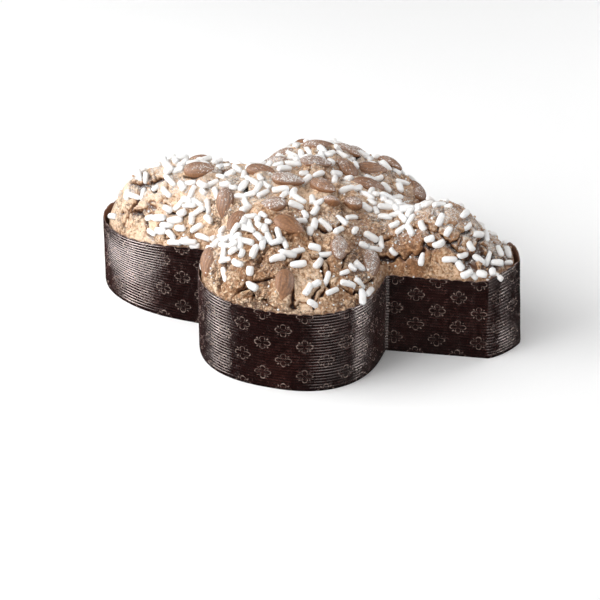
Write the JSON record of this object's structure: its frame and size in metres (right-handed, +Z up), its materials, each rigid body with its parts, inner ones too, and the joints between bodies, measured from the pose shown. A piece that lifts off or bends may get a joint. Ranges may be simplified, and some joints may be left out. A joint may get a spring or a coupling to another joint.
{
  "type": "colomba easter bread",
  "caption": "Dove-shaped Easter bread with a cracked glaze, whole almonds and pearl sugar, baked in a ribbed dark paper case.",
  "frame": {"origin": "on the flat bottom of the paper case, under the middle of the bounding box", "axes": "+X from the head to the tail of the dove along its length, +Y across the wings, +Z up"},
  "size_m": [0.305, 0.214, 0.1094],
  "materials": {
    "paper": "dark brown ribbed baking paper with a soft shine",
    "glaze": "matte, pitted, cracked baked almond glaze dusted with fine sugar",
    "almond": "dry brown almond skin, finely grooved",
    "sugar": "opaque white pearl sugar"
  },
  "bodies": {
    "root": {"paper_case": "paper", "cake": "glaze", "almond_01": "almond", "almond_02": "almond", "almond_03": "almond", "almond_04": "almond", "almond_05": "almond", "almond_06": "almond", "almond_07": "almond", "almond_08": "almond", "almond_09": "almond", "almond_10": "almond", "almond_11": "almond", "almond_12": "almond", "almond_13": "almond", "almond_14": "almond", "almond_15": "almond", "almond_16": "almond", "almond_17": "almond", "almond_18": "almond", "almond_19": "almond", "almond_20": "almond", "almond_21": "almond", "almond_22": "almond", "almond_23": "almond", "almond_24": "almond", "almond_25": "almond", "almond_26": "almond", "almond_27": "almond"}
  },
  "joints": []
}
